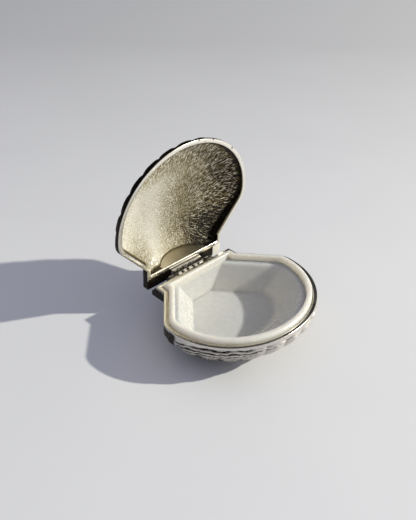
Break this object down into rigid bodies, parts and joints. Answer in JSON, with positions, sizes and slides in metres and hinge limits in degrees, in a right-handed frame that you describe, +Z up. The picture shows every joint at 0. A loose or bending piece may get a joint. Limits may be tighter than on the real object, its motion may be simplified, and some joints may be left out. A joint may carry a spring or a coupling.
{
  "type": "shell trinket box",
  "caption": "Cast metal scallop-shell trinket box: ribbed base and hinged lid standing open, with a smooth white plastic liner holding one fan-shaped well.",
  "frame": {"origin": "centre of the flat spot on the underside, which is where the box stands", "axes": "+Z up, -Y toward the front edge of the shell, +Y toward the hinge, +X along the hinge to the right seen from the front"},
  "size_m": [0.072, 0.0754, 0.0755],
  "materials": {
    "silver_plate": "silver plate over cast zinc alloy, satin on the ribs, polished on the rims, dark patina in the valleys",
    "white_plastic": "gloss, slightly translucent"
  },
  "bodies": {
    "base": {"base_shell": "silver_plate", "liner": "white_plastic", "hinge_pin": "silver_plate"},
    "lid": {"lid_shell": "silver_plate"}
  },
  "joints": [
    {"name": "lid_hinge", "type": "hinge", "parent": "base", "child": "lid", "pos_m": [0, 0.02195, 0.0148], "axis": [-1, 0, 0], "range_deg": [-88, 0]}
  ]
}
